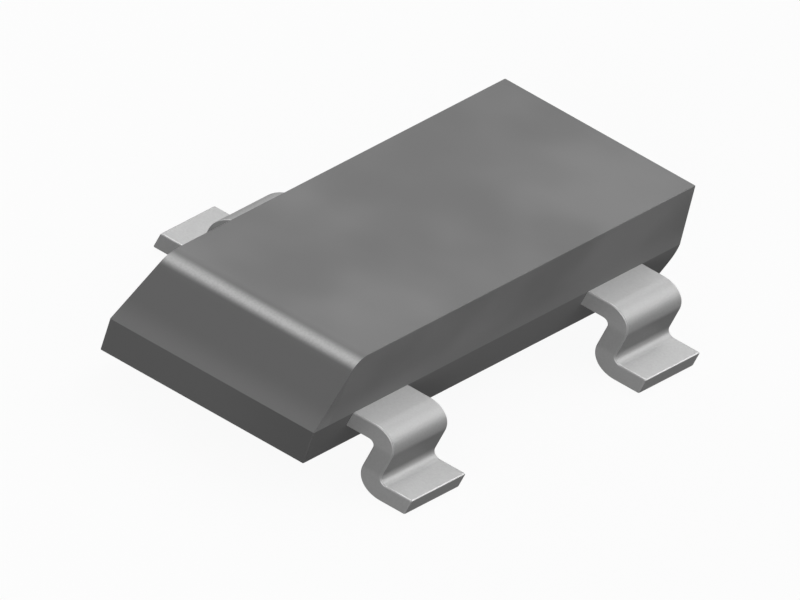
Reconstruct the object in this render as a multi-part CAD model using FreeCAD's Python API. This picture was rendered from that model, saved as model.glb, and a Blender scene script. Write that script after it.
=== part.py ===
import FreeCAD, Part
import math
import os

# A three-lead moulded semiconductor package, drawn in millimetres with +Z up.
# The feet stand on z = 0. X runs along the body, the two-lead side faces -Y and the single lead faces +Y.
# The end with the rounded upper edge is on the left, towards -X.

V = FreeCAD.Vector

# Package body
BODY_LENGTH = 2.99
BODY_WIDTH = 1.23
BODY_TOP = 1.018
BODY_BOTTOM = 0.171
LEFT_UPPER_DRAFT = 0.26
LEFT_LOWER_DRAFT = 0.27
RIGHT_UPPER_DRAFT = 0.20
RIGHT_LOWER_DRAFT = 0.35
UPPER_SIDE_DRAFT = 0.075
LOWER_SIDE_DRAFT = 0.01
TOP_END_ROUND = 0.10

# The right end's slopes would meet this far below the parting plane, and a round joins them
BELLY_DROP = 0.085
BELLY_ROUND = 0.30

# Formed leads, all cut from one strip
STRIP = 0.116
LEAD_WIDTH = 0.443
LEAD_PITCH = 1.90
TOE_SPAN = 2.224
FOOT_FLAT = 0.149
FOOT_BEND = 0.057
UPRIGHT = 0.151
SHOULDER_BEND = 0.045

# The strip's upper face lies in the parting plane of the mould
PARTING = 2 * STRIP + FOOT_BEND + UPRIGHT + SHOULDER_BEND

# Inner ends of the strip
TIP_LENGTH_X = 0.57
TIP_FROM_WALL = 0.20
TIP_DEPTH = 0.46
PADDLE_TO_TIP = 0.14
PADDLE_WALL = 0.20
PADDLE_DEPTH = 0.62

# Die and the layer under it
DIE_LENGTH = 0.60
DIE_DEPTH = 0.46
DIE_THICKNESS = 0.18
ATTACH_THICKNESS = 0.02
ATTACH_MARGIN = 0.02

# Bond wires
WIRE = 0.025
BALL = 0.066
BALL_HEIGHT = 0.018
LOOP_RADIUS = 0.04
STITCH = 0.06
STITCH_HEIGHT = 0.008
DIE_PAD_INSET = 0.10

# How steeply the wires come down, in degrees
LONG_WIRE_ANGLE = 28.0
SHORT_WIRE_ANGLE = 58.0

LEAD_X = LEAD_PITCH / 2
HALF_WIDTH = BODY_WIDTH / 2
FAR = 2 * BODY_LENGTH


def edge_line(a, b):
    return Part.makeLine(a, b)


def edge_arc(a, m, b):
    return Part.Arc(a, m, b).toShape()


def face_of(edges):
    return Part.Face(Part.Wire(edges))


def rounded_corner(before, corner, after, radius):
    """Start, middle and end points of the arc that rounds a corner."""
    u = (before - corner).normalize()
    w = (after - corner).normalize()
    half = u.getAngle(w) / 2
    reach = radius / math.tan(half)
    middle = (u + w).normalize()
    rise = radius / math.sin(half) - radius
    return corner + u * reach, corner + middle * rise, corner + w * reach


def end_profile():
    """The body seen from the two-lead side, with the rounded upper edge on the left."""
    half = BODY_LENGTH / 2
    belly = PARTING - BELLY_DROP
    left = V(-half, -FAR, PARTING)
    left_top = V(-half + LEFT_UPPER_DRAFT * (BODY_TOP - PARTING), -FAR, BODY_TOP)
    left_bottom = V(-half + LEFT_LOWER_DRAFT * (PARTING - BODY_BOTTOM), -FAR, BODY_BOTTOM)
    right = V(half, -FAR, belly)
    right_top = V(half - RIGHT_UPPER_DRAFT * (BODY_TOP - belly), -FAR, BODY_TOP)
    right_bottom = V(half - RIGHT_LOWER_DRAFT * (belly - BODY_BOTTOM), -FAR, BODY_BOTTOM)
    a, am, b = rounded_corner(left, left_top, right_top, TOP_END_ROUND)
    c, cm, d = rounded_corner(right_top, right, right_bottom, BELLY_ROUND)
    edges = [
        edge_line(left, a),
        edge_arc(a, am, b),
        edge_line(b, right_top),
        edge_line(right_top, c),
        edge_arc(c, cm, d),
        edge_line(d, right_bottom),
        edge_line(right_bottom, left_bottom),
        edge_line(left_bottom, left),
    ]
    return face_of(edges)


def side_profile():
    """The body seen from its end, with the widest line at the parting plane."""
    upper = HALF_WIDTH - UPPER_SIDE_DRAFT * (BODY_TOP - PARTING)
    lower = HALF_WIDTH - LOWER_SIDE_DRAFT * (PARTING - BODY_BOTTOM)
    corners = [
        V(-FAR, -HALF_WIDTH, PARTING),
        V(-FAR, -upper, BODY_TOP),
        V(-FAR, upper, BODY_TOP),
        V(-FAR, HALF_WIDTH, PARTING),
        V(-FAR, lower, BODY_BOTTOM),
        V(-FAR, -lower, BODY_BOTTOM),
    ]
    return Part.Face(Part.makePolygon(corners + corners[:1]))


def outer_block():
    along = end_profile().extrude(V(0, 2 * FAR, 0))
    across = side_profile().extrude(V(2 * FAR, 0, 0))
    return along.common(across)


def formed_strip(x, side, inner_y):
    """One lead from its toe to inner_y inside the body; side is -1 at the front and 1 at the back."""
    x0 = x - LEAD_WIDTH / 2
    heel = TOE_SPAN / 2 - FOOT_FLAT
    foot_z = STRIP + FOOT_BEND
    bend_z = foot_z + UPRIGHT
    bend_y = heel - FOOT_BEND - STRIP - SHOULDER_BEND
    wide_foot = FOOT_BEND + STRIP
    wide_bend = SHOULDER_BEND + STRIP
    k = math.sqrt(0.5)

    def p(y, z):
        return V(x0, side * y, z)

    edges = [
        edge_line(p(TOE_SPAN / 2, 0), p(heel, 0)),
        edge_arc(p(heel, 0), p(heel - wide_foot * k, foot_z - wide_foot * k), p(heel - wide_foot, foot_z)),
        edge_line(p(heel - wide_foot, foot_z), p(heel - wide_foot, bend_z)),
        edge_arc(
            p(bend_y + SHOULDER_BEND, bend_z),
            p(bend_y + SHOULDER_BEND * k, bend_z + SHOULDER_BEND * k),
            p(bend_y, bend_z + SHOULDER_BEND),
        ),
        edge_line(p(bend_y, bend_z + SHOULDER_BEND), p(inner_y, bend_z + SHOULDER_BEND)),
        edge_line(p(inner_y, bend_z + SHOULDER_BEND), p(inner_y, PARTING)),
        edge_line(p(inner_y, PARTING), p(bend_y, PARTING)),
        edge_arc(
            p(bend_y, PARTING),
            p(bend_y + wide_bend * k, bend_z + wide_bend * k),
            p(bend_y + wide_bend, bend_z),
        ),
        edge_line(p(bend_y + wide_bend, bend_z), p(heel - FOOT_BEND, foot_z)),
        edge_arc(p(heel - FOOT_BEND, foot_z), p(heel - FOOT_BEND * k, foot_z - FOOT_BEND * k), p(heel, STRIP)),
        edge_line(p(heel, STRIP), p(TOE_SPAN / 2, STRIP)),
        edge_line(p(TOE_SPAN / 2, STRIP), p(TOE_SPAN / 2, 0)),
    ]
    return face_of(edges).extrude(V(LEAD_WIDTH, 0, 0))


def plate(x0, x1, y0, y1, z0, z1):
    return Part.makeBox(x1 - x0, y1 - y0, z1 - z0, V(x0, y0, z0))


def tip_edge():
    """How near the inner end of a front lead comes to the middle of the body."""
    return LEAD_X - TIP_LENGTH_X / 2


def front_lead(side_x):
    """A front lead whose inner end is widened, so that it can't be pulled out of the mould."""
    x = side_x * LEAD_X
    start = -HALF_WIDTH + TIP_FROM_WALL
    strip = formed_strip(x, -1, -(start + TIP_DEPTH / 2))
    half = TIP_LENGTH_X / 2
    tip = plate(x - half, x + half, start, start + TIP_DEPTH, PARTING - STRIP, PARTING)
    return strip.fuse(tip).removeSplitter()


def paddle_limits():
    """Half length of the paddle and its front and back edges."""
    half = tip_edge() - PADDLE_TO_TIP
    back = HALF_WIDTH - PADDLE_WALL
    return half, back - PADDLE_DEPTH, back


def back_lead():
    """The middle lead, one piece with the paddle that carries the die."""
    half, front, back = paddle_limits()
    strip = formed_strip(0.0, 1, back - PADDLE_WALL)
    paddle = plate(-half, half, front, back, PARTING - STRIP, PARTING)
    return strip.fuse(paddle).removeSplitter()


def die_centre_y():
    half, front, back = paddle_limits()
    return (front + back) / 2


def attach_layer():
    x = DIE_LENGTH / 2 + ATTACH_MARGIN
    y = DIE_DEPTH / 2 + ATTACH_MARGIN
    c = die_centre_y()
    return plate(-x, x, c - y, c + y, PARTING, PARTING + ATTACH_THICKNESS)


def die_block():
    x = DIE_LENGTH / 2
    y = DIE_DEPTH / 2
    c = die_centre_y()
    bottom = PARTING + ATTACH_THICKNESS
    return plate(-x, x, c - y, c + y, bottom, bottom + DIE_THICKNESS)


def bond_wire(start, end, fall):
    """A wire with a ball on the die at start, a loop, and a flattened stitch on the strip at end."""
    flat = V(end.x - start.x, end.y - start.y, 0)
    run = flat.Length
    ahead = flat.normalize()
    angle = math.radians(fall)
    s = math.sin(angle)
    c = math.cos(angle)
    straight = run - LOOP_RADIUS * (1 + s)
    top = end.z - LOOP_RADIUS * c + math.tan(angle) * straight

    def at(along, z):
        return V(start.x + ahead.x * along, start.y + ahead.y * along, z)

    rise_foot = at(0, start.z + BALL_HEIGHT / 2)
    rise_top = at(0, top)
    turn = (math.pi / 2 + angle) / 2
    crest = at(LOOP_RADIUS * (1 - math.cos(turn)), top + LOOP_RADIUS * math.sin(turn))
    fall_top = at(LOOP_RADIUS * (1 + s), top + LOOP_RADIUS * c)
    path = Part.Wire([
        edge_line(rise_foot, rise_top),
        edge_arc(rise_top, crest, fall_top),
        edge_line(fall_top, at(run, end.z)),
    ])
    ring = Part.Wire(Part.makeCircle(WIRE / 2, rise_foot, V(0, 0, 1)))
    wire = path.makePipe(Part.Face(ring))
    ball = Part.makeCylinder(BALL / 2, BALL_HEIGHT, start)
    stitch = Part.makeCylinder(STITCH / 2, STITCH_HEIGHT, end)
    below = plate(end.x - FAR, end.x + FAR, end.y - FAR, end.y + FAR, end.z - FAR, end.z)
    return wire.cut(below).fuse([ball, stitch]).removeSplitter()


def bond_wires():
    die_top = PARTING + ATTACH_THICKNESS + DIE_THICKNESS
    c = die_centre_y()
    pad_x = DIE_LENGTH / 2 - DIE_PAD_INSET
    pad_y = DIE_DEPTH / 2 - DIE_PAD_INSET
    tip_x = LEAD_X - DIE_PAD_INSET / 2
    tip_y = -HALF_WIDTH + TIP_FROM_WALL + TIP_DEPTH - 1.5 * DIE_PAD_INSET
    land_y = HALF_WIDTH - PADDLE_WALL + DIE_PAD_INSET
    left = bond_wire(V(-pad_x, c - pad_y, die_top), V(-tip_x, tip_y, PARTING), LONG_WIRE_ANGLE)
    right = bond_wire(V(pad_x, c - pad_y, die_top), V(tip_x, tip_y, PARTING), LONG_WIRE_ANGLE)
    ground = bond_wire(V(0, c + pad_y, die_top), V(0, land_y, PARTING), SHORT_WIRE_ANGLE)
    return left, right, ground


def build():
    """Every piece of the part, with the mould compound fitted exactly round the pieces inside it."""
    left, right, ground = bond_wires()
    pieces = {
        "lead_front_left": front_lead(-1),
        "lead_front_right": front_lead(1),
        "lead_back_paddle": back_lead(),
        "die_attach": attach_layer(),
        "die": die_block(),
        "bond_wire_left": left,
        "bond_wire_right": right,
        "bond_wire_back": ground,
    }
    pieces["mould_body"] = outer_block().cut(list(pieces.values()))
    return pieces


os.makedirs("parts", exist_ok=True)
for name, shape in build().items():
    solid = shape.Solids[0]
    solid.exportStep("parts/%s.step" % name)
    print(name, "solids:", len(shape.Solids), "valid:", solid.isValid(), "cubic mm:", round(solid.Volume, 6))
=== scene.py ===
# %% [markdown]
# # A three-lead moulded package
# The real object is smaller than a grain of rice: a block of epoxy moulding compound round a strip of
# tin-plated copper alloy. This lesson dresses its CAD solids.

# %% Load the solids
import math
import bmesh
import bpy
from mathutils import Matrix, Vector


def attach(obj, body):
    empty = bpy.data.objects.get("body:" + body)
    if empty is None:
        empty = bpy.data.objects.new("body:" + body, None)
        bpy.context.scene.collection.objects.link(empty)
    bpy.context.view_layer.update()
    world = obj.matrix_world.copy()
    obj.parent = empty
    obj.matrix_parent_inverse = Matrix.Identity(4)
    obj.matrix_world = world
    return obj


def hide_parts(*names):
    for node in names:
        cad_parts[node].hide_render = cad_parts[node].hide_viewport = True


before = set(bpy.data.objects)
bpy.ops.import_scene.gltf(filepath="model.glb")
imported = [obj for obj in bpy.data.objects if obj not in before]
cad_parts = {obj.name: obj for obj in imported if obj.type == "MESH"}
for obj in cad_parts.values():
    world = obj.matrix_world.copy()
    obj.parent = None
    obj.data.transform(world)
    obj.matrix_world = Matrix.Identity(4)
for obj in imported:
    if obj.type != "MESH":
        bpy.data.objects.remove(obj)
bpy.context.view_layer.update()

# %% [markdown]
# ## Colour and shader helpers
# Paint charts, web pages and photographs give colours as sRGB hex values, but a render adds up light,
# which needs linear numbers. One function turns the first into the second. Another adds one shader
# node with its settings and its links, so that each material below reads as a short list.

# %% Helpers for every material
def linear(hex_colour):
    """An sRGB hex colour as four linear numbers."""
    channels = [int(hex_colour[i:i + 2], 16) / 255 for i in (1, 3, 5)]
    return [c / 12.92 if c <= 0.04045 else ((c + 0.055) / 1.055) ** 2.4 for c in channels] + [1.0]


def add(tree, kind, settings=None, links=None):
    """A new node. Settings fill sockets or properties; links give a socket its (node, output)."""
    node = tree.nodes.new(kind)
    for key, value in (settings or {}).items():
        if isinstance(key, int) or key in node.inputs:
            node.inputs[key].default_value = value
        else:
            setattr(node, key, value)
    for socket, (source, output) in (links or {}).items():
        tree.links.new(source.outputs[output], node.inputs[socket])
    return node


def new_material(name):
    material = bpy.data.materials.new(name)
    material.use_nodes = True
    material.node_tree.nodes.clear()
    return material, material.node_tree


print("mid grey #808080 is", round(linear("#808080")[0], 3), "in linear light")

# %% [markdown]
# ## Sizes
# The solids were drawn in millimetres and Blender works in metres. The outside faces are built again
# here with finer curves, because light on a small rounding shows every flat of a coarse mesh, so the
# sizes of the drawing are named once more.

# %% Sizes of the drawing
MM = 0.001
BODY_LENGTH, BODY_WIDTH = 2.99, 1.23
BODY_TOP, BODY_BOTTOM = 1.018, 0.171
LEFT_UPPER, LEFT_LOWER, RIGHT_UPPER, RIGHT_LOWER = 0.26, 0.27, 0.20, 0.35
UPPER_SIDE, LOWER_SIDE = 0.075, 0.01
TOP_END_ROUND, BELLY_DROP, BELLY_ROUND = 0.10, 0.085, 0.30
STRIP, LEAD_WIDTH, LEAD_PITCH, TOE_SPAN = 0.116, 0.443, 1.90, 2.224
FOOT_FLAT, FOOT_BEND, UPRIGHT, SHOULDER_BEND = 0.149, 0.057, 0.151, 0.045
PARTING = 2 * STRIP + FOOT_BEND + UPRIGHT + SHOULDER_BEND
HALF_WIDTH = BODY_WIDTH / 2
print("the parting plane is", round(PARTING, 3), "mm above the feet")

# %% [markdown]
# ## The moulded block
# The block comes out of two mould halves that meet at the parting plane, so its ends and sides lean in
# above and below it. A cube with edited corners would do for a plain block, but one end has a
# rounded upper edge and the other a rounded belly. An outline with arcs, seen from the side and
# joined to a copy of itself on the far side, gives both and stays sharp elsewhere.

# %% The outline of the block
CORNER_ROUND = 0.006
TOP_STEPS, BELLY_STEPS, CORNER_STEPS = 28, 24, 3


def rounding(before, corner, after, radius, steps):
    """Points of the arc that rounds one corner of an outline in X and Z."""
    u, w = (before - corner).normalized(), (after - corner).normalized()
    half = u.angle(w) / 2
    centre = corner + (u + w).normalized() * radius / math.sin(half)
    first = corner + u * radius / math.tan(half) - centre
    last = corner + w * radius / math.tan(half) - centre
    turn = first.angle(last)
    points = []
    for i in range(steps + 1):
        a, b = math.sin(turn * (1 - i / steps)), math.sin(turn * i / steps)
        points.append(centre + (first * a + last * b) / math.sin(turn))
    return points


def block_outline():
    half, bulge = BODY_LENGTH / 2, PARTING - BELLY_DROP
    left, right = Vector((-half, PARTING)), Vector((half, bulge))
    left_top = Vector((-half + LEFT_UPPER * (BODY_TOP - PARTING), BODY_TOP))
    left_foot = Vector((-half + LEFT_LOWER * (PARTING - BODY_BOTTOM), BODY_BOTTOM))
    right_top = Vector((half - RIGHT_UPPER * (BODY_TOP - bulge), BODY_TOP))
    right_foot = Vector((half - RIGHT_LOWER * (bulge - BODY_BOTTOM), BODY_BOTTOM))
    return [left,
            *rounding(left, left_top, right_top, TOP_END_ROUND, TOP_STEPS),
            *rounding(left_top, right_top, right, CORNER_ROUND, CORNER_STEPS),
            *rounding(right_top, right, right_foot, BELLY_ROUND, BELLY_STEPS),
            *rounding(right, right_foot, left_foot, CORNER_ROUND, CORNER_STEPS),
            *rounding(right_foot, left_foot, left, CORNER_ROUND, CORNER_STEPS)]


outline = block_outline()
print("the outline has", len(outline), "points")

# %% [markdown]
# The two long sides are flat above and below the parting plane. Where the outline crosses that plane
# on the rounded belly, one point is added, so that each side is made of two clean flats that share
# the parting line. No mould gives a knife edge, so the sides turn into the ends over a tiny rounding. A
# bevel could make it, but it has to guess how the parting line runs into the corner. A row of outlines,
# each a little smaller and a little further out, settles that by itself and always closes.

# %% The outlines of the block
EDGE_ROUND, EDGE_STEPS = 0.005, 4
SAME = 1e-6


def half_width(z):
    lean = UPPER_SIDE * (z - PARTING) if z > PARTING else LOWER_SIDE * (PARTING - z)
    return HALF_WIDTH - lean


def with_parting_points(points):
    """Adds a point wherever the outline crosses the parting plane."""
    result = []
    for a, b in zip(points, points[1:] + points[:1]):
        result.append(a)
        low, high = sorted((a.y, b.y))
        if low < PARTING - SAME and high > PARTING + SAME:
            result.append(a.lerp(b, (PARTING - a.y) / (b.y - a.y)))
    return result


def inset(points, distance):
    """The outline moved inwards by a distance, corner by corner."""
    result = []
    for a, p, b in zip(points[-1:] + points[:-1], points, points[1:] + points[:1]):
        u, w = (p - a).normalized(), (b - p).normalized()
        u, w = Vector((u.y, -u.x)), Vector((w.y, -w.x))
        result.append(p + (u + w) * distance / (1 + u.dot(w)))
    return result


print("half the block's width at its top:", round(half_width(BODY_TOP), 3), "mm")

# %% [markdown]
# Light runs smoothly round the narrow faces of a rounding only if they share their normals, while a flat
# has to keep its own or it seems to bulge. Blender can guess that from angles. Here the area of a face
# decides, because every flat of this part is far larger than the faces of its roundings.

# %% From millimetres to an object
FLAT_AREA = 0.04  # square millimetres
SHARP_ANGLE = math.radians(20)


def corner_normals(bm):
    """A flat keeps its own normal; narrow faces share those of their points, which lean to the largest face."""
    shared = {v: sum((f.normal * f.calc_area() for f in v.link_faces), Vector()).normalized() for v in bm.verts}
    return [f.normal.copy() if f.calc_area() > FLAT_AREA else shared[v] for f in bm.faces for v in f.verts]


def mesh_object(name, build, edge=0.0, edge_slot=-1):
    """A new object whose mesh is filled by build(bm) in millimetres, with its sharp edges rounded to edge."""
    bm = bmesh.new()
    build(bm)
    bmesh.ops.recalc_face_normals(bm, faces=bm.faces)
    if edge:
        sharp = [e for e in bm.edges if e.is_manifold and e.calc_face_angle() > SHARP_ANGLE]
        bmesh.ops.bevel(bm, geom=sharp, offset=edge, segments=3, profile=0.5, affect="EDGES",
                        clamp_overlap=False, material=edge_slot)
        bmesh.ops.dissolve_degenerate(bm, dist=1e-5, edges=bm.edges)
    normals = corner_normals(bm)
    bm.transform(Matrix.Scale(MM, 4))
    print(name, "has", sum(not e.is_manifold for e in bm.edges), "open edges")
    mesh = bpy.data.meshes.new(name)
    bm.to_mesh(mesh)
    bm.free()
    mesh.polygons.foreach_set("use_smooth", [True] * len(mesh.polygons))
    mesh.normals_split_custom_set(normals)
    piece = bpy.data.objects.new(name, mesh)
    bpy.context.scene.collection.objects.link(piece)
    return piece


print("faces above", FLAT_AREA, "square mm stay flat")

# %% Build the block
def build_block(bm):
    points = with_parting_points(outline)
    rings = []
    for side in (-1, 1):
        turns = [math.pi / 2 * i / EDGE_STEPS for i in range(EDGE_STEPS + 1)]
        for turn in (reversed(turns) if side < 0 else turns):
            smaller = inset(points, EDGE_ROUND * (1 - math.cos(turn)))
            depth = EDGE_ROUND * (1 - math.sin(turn))
            rings.append([bm.verts.new((p.x, side * (half_width(p.y) - depth), p.y)) for p in smaller])
    for a, b in zip(rings, rings[1:]):
        for i in range(len(points)):
            j = (i + 1) % len(points)
            bm.faces.new((a[i], a[j], b[j], b[i]))
    first, last = [i for i, p in enumerate(points) if abs(p.y - PARTING) < SAME]
    for ring in (rings[0], rings[-1]):
        bm.faces.new(ring[first:last + 1])
        bm.faces.new(ring[last:] + ring[:first + 1])


block = mesh_object("moulded_block", build_block)
print("the block has", len(block.data.polygons), "faces")

# %% [markdown]
# ## The formed leads
# A press stamps the leads from flat strip and bends them into a gull's wing after moulding. A box
# bent with a modifier would do for one curve, but this strip has two tight bends and changes its
# width inside the block. So cross-sections are set along its middle line, each with its own width,
# and joined into one skin. A stamped edge is never quite sharp, so a bevel rounds it and puts the new
# faces in a second material slot. It works while the mesh is still in millimetres, because in metres
# lengths this small count as nothing to it.

# %% Stations along a lead
BEND_STEPS = 18


def arc(cy, cz, radius, start, end, steps):
    """Points on an arc, with angles in degrees from +Y towards +Z."""
    points = []
    for i in range(steps + 1):
        a = math.radians(start + (end - start) * i / steps)
        points.append((cy + radius * math.cos(a), cz + radius * math.sin(a), a))
    return points


def lead_stations(inner):
    """(y, z, direction across the strip, width) from the toe inwards; inner lists (y, width) pairs."""
    heel = TOE_SPAN / 2 - FOOT_FLAT
    foot_z = STRIP + FOOT_BEND
    bend_z = foot_z + UPRIGHT
    bend_y = heel - FOOT_BEND - STRIP - SHOULDER_BEND
    stations = [(TOE_SPAN / 2, STRIP / 2, math.pi / 2, LEAD_WIDTH)]
    for y, z, a in arc(heel, foot_z, FOOT_BEND + STRIP / 2, 270, 180, BEND_STEPS):
        stations.append((y, z, a + math.pi, LEAD_WIDTH))
    for y, z, a in arc(bend_y, bend_z, SHOULDER_BEND + STRIP / 2, 0, 90, BEND_STEPS):
        stations.append((y, z, a, LEAD_WIDTH))
    for y, width in inner:
        stations.append((y, PARTING - STRIP / 2, math.pi / 2, width))
    return stations


print("one lead has", len(lead_stations([(0.2, LEAD_WIDTH)])), "cross-sections")

# %% Build the three leads
def build_lead(bm, x, side, inner):
    rings = []
    for y, z, a, width in lead_stations(inner):
        dy, dz = math.cos(a) * STRIP / 2, math.sin(a) * STRIP / 2
        corners = ((-1, -1), (1, -1), (1, 1), (-1, 1))
        ring = [bm.verts.new((x + sx * width / 2, side * (y + s * dy), z + s * dz)) for sx, s in corners]
        rings.append(ring)
    for a, b in zip(rings, rings[1:]):
        for i in range(4):
            bm.faces.new((a[i], a[(i + 1) % 4], b[(i + 1) % 4], b[i]))
    bm.faces.new(rings[0])
    bm.faces.new(rings[-1])


TIP_WIDTH, TIP_START, TIP_END = 0.57, HALF_WIDTH - 0.20, HALF_WIDTH - 0.66
PADDLE_WIDTH, PADDLE_BACK, PADDLE_FRONT = 1.05, HALF_WIDTH - 0.20, HALF_WIDTH - 0.82
tip = [(TIP_START, LEAD_WIDTH), (TIP_START, TIP_WIDTH), (TIP_END, TIP_WIDTH)]
paddle = [(PADDLE_BACK, LEAD_WIDTH), (PADDLE_BACK, PADDLE_WIDTH), (PADDLE_FRONT, PADDLE_WIDTH)]
LEAD_EDGE = 0.009


def lead_skin(name, x, side, inner):
    return mesh_object(name, lambda bm: build_lead(bm, x, side, inner), LEAD_EDGE, edge_slot=1)


leads = {
    "lead_front_left": lead_skin("formed_lead_left", -LEAD_PITCH / 2, -1, tip),
    "lead_front_right": lead_skin("formed_lead_right", LEAD_PITCH / 2, -1, tip),
    "lead_back_paddle": lead_skin("formed_lead_back", 0.0, 1, paddle),
}
print("leads built:", sorted(leads))

# %% [markdown]
# ## Moulding compound
# The block is epoxy moulding compound: a thermoset resin with a heavy load of fused silica powder.
# It takes the face of a spark-eroded steel mould, so it is a dull satin grey with no grain that the
# eye can see. A picture of such a surface could be wrapped round the block, but a few nodes do as
# well and stay sharp at any distance: slow clouds where filler settled unevenly, and painted light and
# shade over them: a painted lighter zone that fades out above the parting plane, a painted darker shade
# under it that deepens to the front left corner, a painted darker shade on the left end face, and a
# painted highlight, a brighter, faintly gritty band on the rounded upper edge. The left end face has the
# light zone but no clouds, as in the picture. The flats in the picture show almost no gloss. So the shader's
# gloss for plastics is turned off, and a small share of rough metal gives the block its faint sheen, with
# more of it in the painted highlight band.

# %% Clouds, and painted light and shade above the parting plane
SOFT = {"interpolation_type": "SMOOTHSTEP"}  # a mask that comes and goes gently
CLOUD_SIZE = 0.70  # about a quarter of the block's length, as in the picture
CLOUD_START = (0.0125, 0.0179, 0.0155)  # where in the noise the clouds begin
LIGHT_ZONE = 0.20
END_INNER, END_OUTER = -1.365, -1.390  # the X where the end face takes over from the rounded edge


# Clouds of the compound's own tone, then painted light: a lighter zone near the parting plane, and a painted darker
# shade on the left end face.
def clouds_and_painted_light_above(tree, place, spot):
    start = add(tree, "ShaderNodeMapping", {"Location": CLOUD_START}, {"Vector": (place, "Object")})
    clouds = add(tree, "ShaderNodeTexNoise", {"Scale": 1 / (CLOUD_SIZE * MM), "Detail": 2.0, "Roughness": 0.4},
                 {"Vector": (start, 0)})
    cloud = add(tree, "ShaderNodeMapRange", {**SOFT, "From Min": 0.30, "From Max": 0.72}, {"Value": (clouds, 0)})
    cloudy = add(tree, "ShaderNodeMixRGB", {"Color1": linear("#727272"), "Color2": linear("#7F7F7F")},
                 {"Fac": (cloud, 0)})
    painted_light_near_parting = add(tree, "ShaderNodeMapRange",
                       {**SOFT, "From Min": (PARTING + LIGHT_ZONE) * MM, "From Max": PARTING * MM},
                       {"Value": (spot, "Z")})
    side = add(tree, "ShaderNodeMixRGB", {"Color2": linear("#7C7C7C")},
               {"Fac": (painted_light_near_parting, 0), "Color1": (cloudy, 0)})
    end = add(tree, "ShaderNodeMixRGB", {"Color1": linear("#747474"), "Color2": linear("#818181")},
              {"Fac": (painted_light_near_parting, 0)})
    on_end = add(tree, "ShaderNodeMapRange", {**SOFT, "From Min": END_INNER * MM, "From Max": END_OUTER * MM},
                 {"Value": (spot, "X")})
    return add(tree, "ShaderNodeMixRGB", {}, {"Fac": (on_end, 0), "Color1": (side, 0), "Color2": (end, 0)})


print("clouds are", round(CLOUD_SIZE / BODY_LENGTH, 2), "of the block's length")

# %% Painted shade under it, and where the two meet
CORNER_SHADE = -1.4, -2.1  # X plus Y, so that the painted shade grows to the front left corner on both its faces
PARTING_BLUR = 0.002


# Painted shade: the faces under the parting plane are darker, and darker still towards the front left corner.
def painted_shade_below(tree, spot):
    to_corner = add(tree, "ShaderNodeMath", {"operation": "ADD"}, {0: (spot, "X"), 1: (spot, "Y")})
    at_corner = add(tree, "ShaderNodeMapRange",
                    {**SOFT, "From Min": CORNER_SHADE[0] * MM, "From Max": CORNER_SHADE[1] * MM},
                    {"Value": (to_corner, 0)})
    return add(tree, "ShaderNodeMixRGB", {"Color1": linear("#6F6F6F"), "Color2": linear("#676767")},
               {"Fac": (at_corner, 0)})


# Clouds with painted light above the parting plane, and painted shade under it.
def clouds_and_painted_shading(tree, place, spot):
    upper, lower = clouds_and_painted_light_above(tree, place, spot), painted_shade_below(tree, spot)
    above = add(tree, "ShaderNodeMapRange",
                {**SOFT, "From Min": (PARTING - PARTING_BLUR) * MM, "From Max": (PARTING + PARTING_BLUR) * MM},
                {"Value": (spot, "Z")})
    return add(tree, "ShaderNodeMixRGB", {}, {"Fac": (above, 0), "Color1": (lower, 0), "Color2": (upper, 0)})


print("the corner's shade begins", round(CORNER_SHADE[0] + (BODY_LENGTH + BODY_WIDTH) / 2, 2), "mm from the corner")

# %% The axis of the rounded upper edge
CROWN_Z = BODY_TOP - TOP_END_ROUND
CROWN_X = -BODY_LENGTH / 2 + LEFT_UPPER * (CROWN_Z - PARTING) + TOP_END_ROUND * math.hypot(1, LEFT_UPPER)


def around_crown(tree, spot):
    """The angle about the axis, from the top towards the end face, and the distance from it."""
    sideways = add(tree, "ShaderNodeMath", {"operation": "SUBTRACT", 0: CROWN_X * MM}, {1: (spot, "X")})
    upwards = add(tree, "ShaderNodeMath", {"operation": "SUBTRACT", 1: CROWN_Z * MM}, {0: (spot, "Z")})
    arm = add(tree, "ShaderNodeCombineXYZ", {}, {"X": (sideways, 0), "Y": (upwards, 0)})
    angle = add(tree, "ShaderNodeMath", {"operation": "ARCTAN2"}, {0: (sideways, 0), 1: (upwards, 0)})
    return angle, add(tree, "ShaderNodeVectorMath", {"operation": "LENGTH"}, {"Vector": (arm, 0)})


print("axis of the rounded edge in mm:", round(CROWN_X, 3), round(CROWN_Z, 3))

# %% The painted highlight band on it
FILLER_GRAIN = 0.012  # silica grains of about this size, two picture points wide in the render
BAND_RISE, BAND_FALL = (18, 53), (86, 51)  # degrees from the top between which the band comes and goes
SKIN_DEPTH = 0.002  # the band stops this far inside the rounding


# A painted highlight: a lighter, faintly gritty band on the rounded upper edge.
def painted_highlight_band(tree, place, spot):
    angle, reach = around_crown(tree, spot)
    rise, fall = (add(tree, "ShaderNodeMapRange",
                      {**SOFT, "From Min": math.radians(low), "From Max": math.radians(high)},
                      {"Value": (angle, 0)}) for low, high in (BAND_RISE, BAND_FALL))
    grit = add(tree, "ShaderNodeTexNoise", {"Scale": 1 / (FILLER_GRAIN * MM), "Detail": 1.0},
               {"Vector": (place, "Object")})
    highlight_speckle = add(tree, "ShaderNodeMapRange", {"From Min": 0.25, "From Max": 0.75, "To Min": 0.86, "To Max": 1.14},
               {"Value": (grit, 0)})
    skin_only = add(tree, "ShaderNodeMath", {"operation": "GREATER_THAN", 1: (TOP_END_ROUND - SKIN_DEPTH) * MM},
                    {0: (reach, "Value")})
    band = rise
    for factor in (fall, highlight_speckle, skin_only):
        band = add(tree, "ShaderNodeMath", {"operation": "MULTIPLY"}, {0: (band, 0), 1: (factor, 0)})
    return band


print("the band lies between", BAND_RISE[0], "and", BAND_FALL[0], "degrees from the top")

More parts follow.
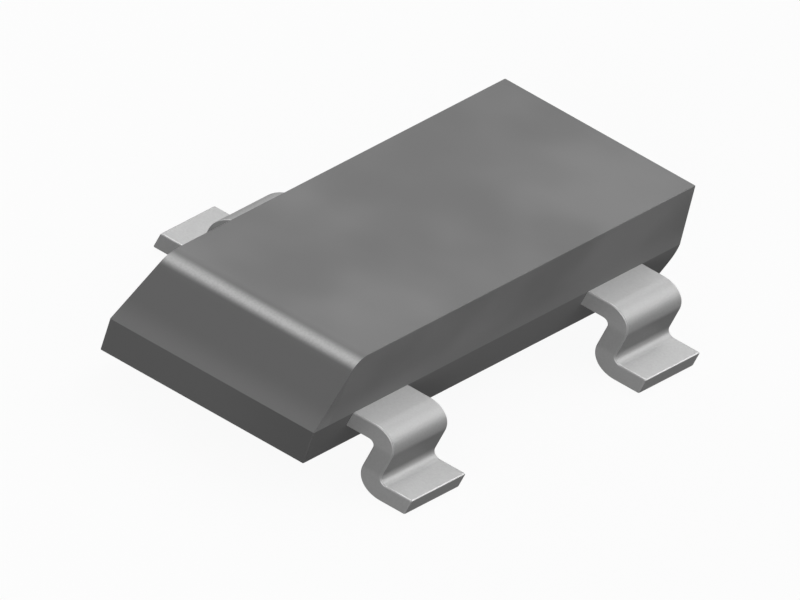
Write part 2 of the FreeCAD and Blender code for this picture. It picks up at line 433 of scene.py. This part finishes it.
# %% The finish of the block
def moulding_compound():
    material, tree = new_material("satin_epoxy_moulding_compound")
    place = add(tree, "ShaderNodeTexCoord")
    spot = add(tree, "ShaderNodeSeparateXYZ", {}, {"Vector": (place, "Object")})
    band = painted_highlight_band(tree, place, spot)
    # The band paints a highlight in a lighter colour, and raises the share of metal for some real sheen.
    colour = add(tree, "ShaderNodeMixRGB", {"Color2": linear("#C6C6C6")},
                 {"Fac": (band, 0), "Color1": (clouds_and_painted_shading(tree, place, spot), 0)})
    sheen = add(tree, "ShaderNodeMapRange", {"To Min": 0.04, "To Max": 0.3}, {"Value": (band, 0)})
    skin = add(tree, "ShaderNodeBsdfPrincipled", {"Roughness": 0.6, "IOR": 1.5, "Specular IOR Level": 0.0},
               {"Base Color": (colour, 0), "Metallic": (sheen, 0)})
    add(tree, "ShaderNodeOutputMaterial", {}, {"Surface": (skin, "BSDF")})
    return material


compound = moulding_compound()
block.data.materials.append(compound)
print("made", compound.name)

# %% [markdown]
# ## Matt tin plate
# The leads are copper alloy strip with a coat of matt tin some eight micrometres thick. Its fine
# crystals scatter light, so the metal looks pale and soft and never like a mirror, and the shader is
# metal only in part. One noise mottles its colour as the crystals do, and another, stretched along the
# strip, gives the grain left from rolling.
# Painted light and shade are added too. The uprights get a painted shade, a darker zone by height.
# The sheared sides and the rounded edges are painted lighter, which puts a painted highlight on the edges,
# and the cut toes get a darker tin. Each of these could be painted on by hand, but a mask by height and
# three materials by face say it more plainly.

# %% The finish of the leads
UPRIGHT_SHADE_RISE, UPRIGHT_SHADE_FALL = (0.145, 0.195), (0.365, 0.32)  # heights between which the painted shade on the uprights comes and goes
CRYSTAL = 0.012  # real crystals are 0.002 to 0.005 mm; these are as coarse as they need to be to show
ROLLING_GRAIN, GRAIN_DEPTH = 0.010, 0.001  # the width of a rolling line, also drawn coarser than the real one


def tin_plate(name, flat_colour, upright_shade_colour, roughness):
    material, tree = new_material(name)
    place = add(tree, "ShaderNodeTexCoord")
    spot = add(tree, "ShaderNodeSeparateXYZ", {}, {"Vector": (place, "Object")})
    rise, fall = (add(tree, "ShaderNodeMapRange", {**SOFT, "From Min": low * MM, "From Max": high * MM},
                      {"Value": (spot, "Z")}) for low, high in (UPRIGHT_SHADE_RISE, UPRIGHT_SHADE_FALL))
    # Painted shade: the uprights are darker between these heights.
    painted_upright_shade = add(tree, "ShaderNodeMath", {"operation": "MULTIPLY"}, {0: (rise, 0), 1: (fall, 0)})
    tone = add(tree, "ShaderNodeMixRGB", {"Color1": linear(flat_colour), "Color2": linear(upright_shade_colour)},
               {"Fac": (painted_upright_shade, 0)})
    crystals = add(tree, "ShaderNodeTexNoise", {"Scale": 1 / (CRYSTAL * MM), "Detail": 2.0},
                   {"Vector": (place, "Object")})
    mottle = add(tree, "ShaderNodeMapRange", {"From Min": 0.3, "From Max": 0.7, "To Min": 0.965, "To Max": 1.035},
                 {"Value": (crystals, 0)})
    colour = add(tree, "ShaderNodeVectorMath", {"operation": "SCALE"}, {0: (tone, 0), "Scale": (mottle, 0)})
    grain = add(tree, "ShaderNodeMapping", {"Scale": (1.0, 0.25, 0.25)}, {"Vector": (place, "Object")})
    lines = add(tree, "ShaderNodeTexNoise", {"Scale": 1 / (ROLLING_GRAIN * MM), "Detail": 2.0},
                {"Vector": (grain, 0)})
    bump = add(tree, "ShaderNodeBump", {"Strength": 0.15, "Distance": GRAIN_DEPTH * MM}, {"Height": (lines, 0)})
    skin = add(tree, "ShaderNodeBsdfPrincipled",
               {"Metallic": 0.6, "Roughness": roughness, "Specular IOR Level": 0.0},
               {"Base Color": (colour, 0), "Normal": (bump, 0)})
    add(tree, "ShaderNodeOutputMaterial", {}, {"Surface": (skin, "BSDF")})
    return material


tin = tin_plate("matt_tin_plate", "#A4A4A4", "#868686", 0.50)
# Painted light: a lighter tin on the sheared sides and the rounded edges, which paints a highlight along the edges.
side_and_edge_tin = tin_plate("tin_plate_painted_lighter_on_sides_and_edges", "#B8B8B8", "#AEAEAE", 0.40)
toe_tin = tin_plate("tin_plate_on_cut_toes", "#969696", "#969696", 0.50)
print("made", tin.name, "and", side_and_edge_tin.name, "and", toe_tin.name)

# %% Put each finish on its faces
TOE_PLANE = TOE_SPAN / 2 - 0.001
SIDEWAYS = 0.9  # a face that looks this much along X is a sheared side

for lead in leads.values():
    for material in (tin, side_and_edge_tin, toe_tin):
        lead.data.materials.append(material)
    for face in lead.data.polygons:
        if abs(face.normal.x) > SIDEWAYS:
            face.material_index = 1
        elif abs(face.center.y) > TOE_PLANE * MM:
            face.material_index = 2
slots = [face.material_index for lead in leads.values() for face in lead.data.polygons]
print("faces of the leads in each finish:", [slots.count(i) for i in range(3)])

# %% [markdown]
# ## The sealed pieces
# The chip, the layer of silver-filled epoxy under it and the gold wires are sealed in the block. Nobody
# sees them in a normal view, so their solids stay as drawn and only get a finish each: polished
# silicon, dull filled epoxy and bright drawn gold.

# %% Finishes of the sealed pieces
def plain_finish(name, colour, metallic, roughness):
    material, tree = new_material(name)
    skin = add(tree, "ShaderNodeBsdfPrincipled",
               {"Base Color": linear(colour), "Metallic": metallic, "Roughness": roughness})
    add(tree, "ShaderNodeOutputMaterial", {}, {"Surface": (skin, "BSDF")})
    return material


silicon = plain_finish("polished_silicon", "#3C4048", 0.0, 0.12)
filled_epoxy = plain_finish("silver_filled_epoxy", "#A8A8A2", 0.0, 0.6)
gold = plain_finish("drawn_gold_wire", "#E0B050", 1.0, 0.2)
sealed = {"die": silicon, "die_attach": filled_epoxy, "bond_wire_left": gold,
          "bond_wire_right": gold, "bond_wire_back": gold}
for node, material in sealed.items():
    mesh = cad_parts[node].data
    mesh.materials.clear()
    mesh.materials.append(material)
print("sealed pieces finished:", sorted(sealed))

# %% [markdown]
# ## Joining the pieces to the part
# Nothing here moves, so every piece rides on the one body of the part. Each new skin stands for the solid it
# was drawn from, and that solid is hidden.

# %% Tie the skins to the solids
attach(block, "root")
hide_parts("mould_body")
for node, lead in leads.items():
    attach(lead, "root")
    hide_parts(node)
print("skins tied:", 1 + len(leads))

# %% [markdown]
# ## Floor and light
# The part stands on a plain white sweep under soft studio light. White paint would throw as much light
# up under the block as falls on top of it, and the picture's lower faces are dark. So the floor and the
# sky are white only to rays that come straight from the camera, through glass or, in part, off a gloss,
# while every other ray meets a grey floor and a dimmer sky. The whole of the white off a gloss would
# make the upright faces of the metal far too pale beside the picture. A small share of what the camera
# sees of the floor is matt paint, and that share keeps the soft shadow of the part.

# %% A mask for what the camera sees
GLOSS_SHARE = 0.25
FLOOR_WHITE, SKY_WHITE = 0.985, 0.975  # strengths at which both come out as the picture's white


def seen(tree):
    """Two masks: rays from the camera or through glass, and the same with a part of the rays off a gloss."""
    rays = add(tree, "ShaderNodeLightPath")
    gloss = add(tree, "ShaderNodeMath", {"operation": "MULTIPLY", 1: GLOSS_SHARE}, {0: (rays, "Is Glossy Ray")})
    straight = add(tree, "ShaderNodeMath", {"operation": "MAXIMUM"},
                   {0: (rays, "Is Camera Ray"), 1: (rays, "Is Transmission Ray")})
    return straight, add(tree, "ShaderNodeMath", {"operation": "MAXIMUM"}, {0: (gloss, 0), 1: (straight, 0)})


print("rays off a gloss see", GLOSS_SHARE, "of the white")

# %% Floor
FLOOR_SIZE, FLOOR_GAP = 60.0, 0.002
WHITE_SHARE = 0.92


def build_floor(bm):
    bmesh.ops.create_grid(bm, x_segments=1, y_segments=1, size=FLOOR_SIZE / 2)


floor = mesh_object("floor", build_floor)
floor.location.z = -FLOOR_GAP * MM
sweep, tree = new_material("white_sweep")
straight, wide = seen(tree)
share = add(tree, "ShaderNodeMath", {"operation": "MULTIPLY", 1: WHITE_SHARE}, {0: (wide, 0)})
paint = add(tree, "ShaderNodeMixRGB", {"Color1": linear("#585858"), "Color2": linear("#E6E6E6")},
            {"Fac": (straight, 0)})
matt = add(tree, "ShaderNodeBsdfDiffuse", {}, {"Color": (paint, 0)})
white = add(tree, "ShaderNodeEmission", {"Color": (1, 1, 1, 1), "Strength": FLOOR_WHITE})
mix = add(tree, "ShaderNodeMixShader", {}, {0: (share, 0), 1: (matt, 0), 2: (white, 0)})
add(tree, "ShaderNodeOutputMaterial", {}, {"Surface": (mix, 0)})
floor.data.materials.append(sweep)
print("floor is", FLOOR_SIZE, "mm across")

# %% Sky
SKY = 0.30
scene = bpy.context.scene
scene.world = bpy.data.worlds.new("pale_sky")
scene.world.use_nodes = True
tree = scene.world.node_tree
tree.nodes.clear()
dim = add(tree, "ShaderNodeBackground", {"Color": (1, 1, 1, 1), "Strength": SKY})
white = add(tree, "ShaderNodeBackground", {"Color": (1, 1, 1, 1), "Strength": SKY_WHITE})
wide = seen(tree)[1]
mix = add(tree, "ShaderNodeMixShader", {}, {0: (wide, 0), 1: (dim, 0), 2: (white, 0)})
add(tree, "ShaderNodeOutputWorld", {}, {"Surface": (mix, 0)})
print("the sky gives", SKY, "of full light")

# %% [markdown]
# A soft box in a studio could be an area lamp close by, but then the light would fall off across so small
# a part. A sun lamp with a wide angle lights every face of one slope alike. Three of them cast soft
# shadows: low on the left, overhead and low behind. Two fill lamps, overhead and on the right, cast none,
# because the picture has only a faint shade where a lead leaves the block.

# %% Lamps
LAMP_WIDTH = math.radians(40)


def lamp(name, bearing, height, strength, shadow=True):
    """A wide lamp far away; its bearing counts from +X towards +Y and its height from the floor, in degrees."""
    light = bpy.data.lights.new(name, "SUN")
    light.energy = strength
    light.angle = LAMP_WIDTH
    light.use_shadow = shadow
    holder = bpy.data.objects.new(name, light)
    scene.collection.objects.link(holder)
    holder.rotation_euler = (0, math.radians(90 - height), math.radians(bearing))


lamp("lamp on the left", 198, 14, 1.52)
lamp("lamp overhead", 25, 62, 0.60)
lamp("fill overhead", 25, 62, 1.07, shadow=False)
lamp("fill on the right", -32, 26, 1.16, shadow=False)
lamp("lamp behind", 70, 14, 0.80)

# %% [markdown]
# ## Camera
# The picture has no perspective: parallel edges stay parallel. It is also rolled, and one third wider
# than it should be. An orthographic camera gives the first two. The stretch can be had from the same
# camera by turning its picture plane about the upright of the picture, so that it is no longer square
# to the line of sight: every width then falls on more of the plane. A camera's own rotation can't hold
# such a slant, so it sits in the matrix that links the camera to an empty.

# %% The directions of the picture
PICTURE = (800, 600)
PX_RIGHT = Vector((123.314, -165.859, 66.094))  # picture points to the right for each millimetre along X, Y, Z
PX_UP = Vector((63.688, 93.314, 115.340))  # the same, upwards
ORIGIN_PX = (364.184, 336.569)  # where the origin of the part falls, from the top left of the picture
stretch = PX_RIGHT.length / PX_UP.length
right, up = PX_RIGHT.normalized(), PX_UP.normalized()
back = right.cross(up).normalized()
across = right / stretch + back * math.sqrt(1 - 1 / stretch ** 2)
print("stretch", round(stretch, 4), "elevation", round(math.degrees(math.asin(back.z)), 1))

# %% Set up the slanted camera
AWAY = 20  # millimetres along the line of sight, which a view without perspective doesn't show
shift_right = (PICTURE[0] / 2 - ORIGIN_PX[0]) / PX_UP.length
shift_up = (ORIGIN_PX[1] - PICTURE[1] / 2) / PX_UP.length
stand = (across * shift_right + up * shift_up + back * AWAY) * MM
link = bpy.data.objects.new("camera link", None)
scene.collection.objects.link(link)
camera_data = bpy.data.cameras.new("picture camera")
camera_data.type = "ORTHO"
camera_data.ortho_scale = PICTURE[0] / PX_UP.length * MM
camera_data.clip_start, camera_data.clip_end = 1 * MM, 200 * MM
camera = bpy.data.objects.new("picture camera", camera_data)
scene.collection.objects.link(camera)
camera.parent = link
columns = Matrix((across, up, back)).transposed().to_4x4()
camera.matrix_parent_inverse = Matrix.Translation(stand) @ columns
scene.camera = camera
print("the picture is", round(1000 * camera_data.ortho_scale, 2), "mm wide")

# %% [markdown]
# ## The view transform
# The view transform is the plain one, so colours come out as written.

# %% Finish
scene.view_settings.view_transform = "Standard"
